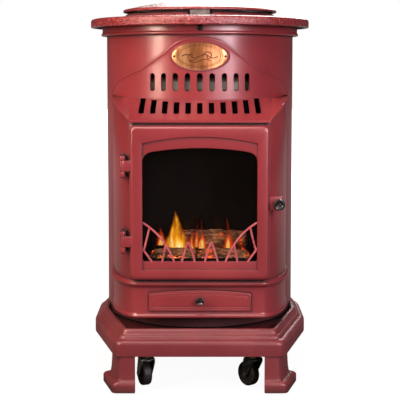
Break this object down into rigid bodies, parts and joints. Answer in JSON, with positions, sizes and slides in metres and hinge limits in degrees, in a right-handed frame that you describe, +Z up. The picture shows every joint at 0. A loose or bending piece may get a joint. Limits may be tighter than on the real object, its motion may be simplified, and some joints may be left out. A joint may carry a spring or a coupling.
{
  "type": "portable gas cabinet heater",
  "caption": "Free-standing gas heater styled as a small stove: round drum for a gas bottle, glazed door over a log fire, vented hood, lidded top, and a stepped base on legs and castors.",
  "frame": {"origin": "on the floor, under the middle of the heater's box", "axes": "+Z up, -Y towards the front with the door, +X to the right of a viewer who faces the door"},
  "size_m": [0.475, 0.541, 0.7835],
  "materials": {
    "painted_shell": "satin burgundy powder coat on steel sheet",
    "painted_casting": "satin burgundy powder coat on a fine cast texture",
    "copper_badge": "brushed copper-toned plate",
    "black_plastic": "black moulded plastic",
    "black_steel": "black heat-proof paint on steel sheet",
    "bright_steel": "aluminised steel sheet",
    "zinc_steel": "zinc-plated steel",
    "brass": "turned brass",
    "stove_glass": "ceramic stove glass",
    "ceramic_log": "coloured ceramic fibre",
    "black_tyre": "black moulded tread"
  },
  "bodies": {
    "cabinet": {"drum_shell": "painted_shell", "collar_ring": "painted_shell", "upper_fascia": "painted_shell", "door_surround": "painted_shell", "lower_casing": "painted_shell", "hinge_bracket_upper": "painted_shell", "hinge_bracket_lower": "painted_shell", "top_plate": "painted_casting", "base_plinth": "painted_casting", "leg_front_left": "painted_casting", "leg_front_right": "painted_casting", "leg_rear_left": "painted_casting", "leg_rear_right": "painted_casting", "badge_plate": "copper_badge", "igniter_barrel": "black_plastic", "bottle_tray": "black_steel", "control_plate": "black_steel", "collar_screw": "black_steel", "magnet_catch": "black_steel", "hinge_pin_upper": "black_steel", "hinge_pin_lower": "black_steel", "drawer_guide": "black_steel", "firebox": "black_steel", "burner_tray": "black_steel", "bearer_front": "black_steel", "bearer_rear": "black_steel", "lid_rest_tab": "bright_steel", "heat_shield": "bright_steel", "pilot_burner": "bright_steel", "rear_hinge_rod": "zinc_steel", "lid_hinge_pin": "zinc_steel", "castor_front_left_plate": "zinc_steel", "castor_front_right_plate": "zinc_steel", "castor_rear_left_plate": "zinc_steel", "castor_rear_right_plate": "zinc_steel", "gas_valve": "brass", "gas_pipe": "brass", "log_back": "ceramic_log", "log_left": "ceramic_log", "log_right": "ceramic_log"},
    "door": {"door_frame": "painted_shell", "door_glass": "stove_glass", "door_knob": "black_plastic"},
    "drawer": {"drawer_front": "painted_shell", "drawer_pan": "black_steel", "drawer_knob": "black_plastic"},
    "lid": {"lid": "painted_casting"},
    "rear_door": {"rear_door": "painted_shell", "rear_door_pull": "black_plastic"},
    "control_knob": {"control_knob": "black_plastic"},
    "igniter_button": {"igniter_button": "black_plastic"},
    "castor_front_left_swivel": {"castor_front_left_fork": "black_steel"},
    "castor_front_left_wheel": {"castor_front_left_wheel": "black_tyre"},
    "castor_front_right_swivel": {"castor_front_right_fork": "black_steel"},
    "castor_front_right_wheel": {"castor_front_right_wheel": "black_tyre"},
    "castor_rear_left_swivel": {"castor_rear_left_fork": "black_steel"},
    "castor_rear_left_wheel": {"castor_rear_left_wheel": "black_tyre"},
    "castor_rear_right_swivel": {"castor_rear_right_fork": "black_steel"},
    "castor_rear_right_wheel": {"castor_rear_right_wheel": "black_tyre"}
  },
  "joints": [
    {"name": "door_hinge", "type": "hinge", "parent": "cabinet", "child": "door", "pos_m": [-0.1512, -0.237, 0.37], "axis": [0, 0, -1], "range_deg": [0, 110]},
    {"name": "drawer_slide", "type": "slide", "parent": "cabinet", "child": "drawer", "axis": [0, -1, 0], "range_m": [0, 0.085]},
    {"name": "lid_hinge", "type": "hinge", "parent": "cabinet", "child": "lid", "pos_m": [0, 0.2115, 0.763], "axis": [-1, 0, 0], "range_deg": [0, 80]},
    {"name": "rear_door_hinge", "type": "hinge", "parent": "cabinet", "child": "rear_door", "pos_m": [0.17633, 0.14577, 0.41], "axis": [0, 0, -1], "range_deg": [0, 100]},
    {"name": "control_knob_turn", "type": "hinge", "parent": "cabinet", "child": "control_knob", "pos_m": [0.048, 0.095, 0.745], "axis": [0, 0, -1], "range_deg": [0, 210]},
    {"name": "igniter_press", "type": "slide", "parent": "cabinet", "child": "igniter_button", "axis": [0, 0, -1], "range_m": [0, 0.004], "stiffness_N_per_m": 500, "springref_m": -0.001},
    {"name": "castor_front_left_swivel_turn", "type": "hinge", "parent": "cabinet", "child": "castor_front_left_swivel", "pos_m": [-0.107, -0.212, 0.06], "axis": [0, 0, 1], "continuous": true},
    {"name": "castor_front_left_roll", "type": "hinge", "parent": "castor_front_left_swivel", "child": "castor_front_left_wheel", "pos_m": [-0.11179, -0.19884, 0.02469], "axis": [0.9397, 0.342, 0], "continuous": true},
    {"name": "castor_front_right_swivel_turn", "type": "hinge", "parent": "cabinet", "child": "castor_front_right_swivel", "pos_m": [0.107, -0.212, 0.06], "axis": [0, 0, 1], "continuous": true},
    {"name": "castor_front_right_roll", "type": "hinge", "parent": "castor_front_right_swivel", "child": "castor_front_right_wheel", "pos_m": [0.09857, -0.20082, 0.02469], "axis": [0.7986, 0.6018, 0], "continuous": true},
    {"name": "castor_rear_left_swivel_turn", "type": "hinge", "parent": "cabinet", "child": "castor_rear_left_swivel", "pos_m": [-0.107, 0.212, 0.06], "axis": [0, 0, 1], "continuous": true},
    {"name": "castor_rear_left_roll", "type": "hinge", "parent": "castor_rear_left_swivel", "child": "castor_rear_left_wheel", "pos_m": [-0.11269, 0.22479, 0.02469], "axis": [0.9135, 0.4067, 0], "continuous": true},
    {"name": "castor_rear_right_swivel_turn", "type": "hinge", "parent": "cabinet", "child": "castor_rear_right_swivel", "pos_m": [0.107, 0.212, 0.06], "axis": [0, 0, 1], "continuous": true},
    {"name": "castor_rear_right_roll", "type": "hinge", "parent": "castor_rear_right_swivel", "child": "castor_rear_right_wheel", "pos_m": [0.09979, 0.224, 0.02469], "axis": [0.8572, 0.515, 0], "continuous": true}
  ]
}
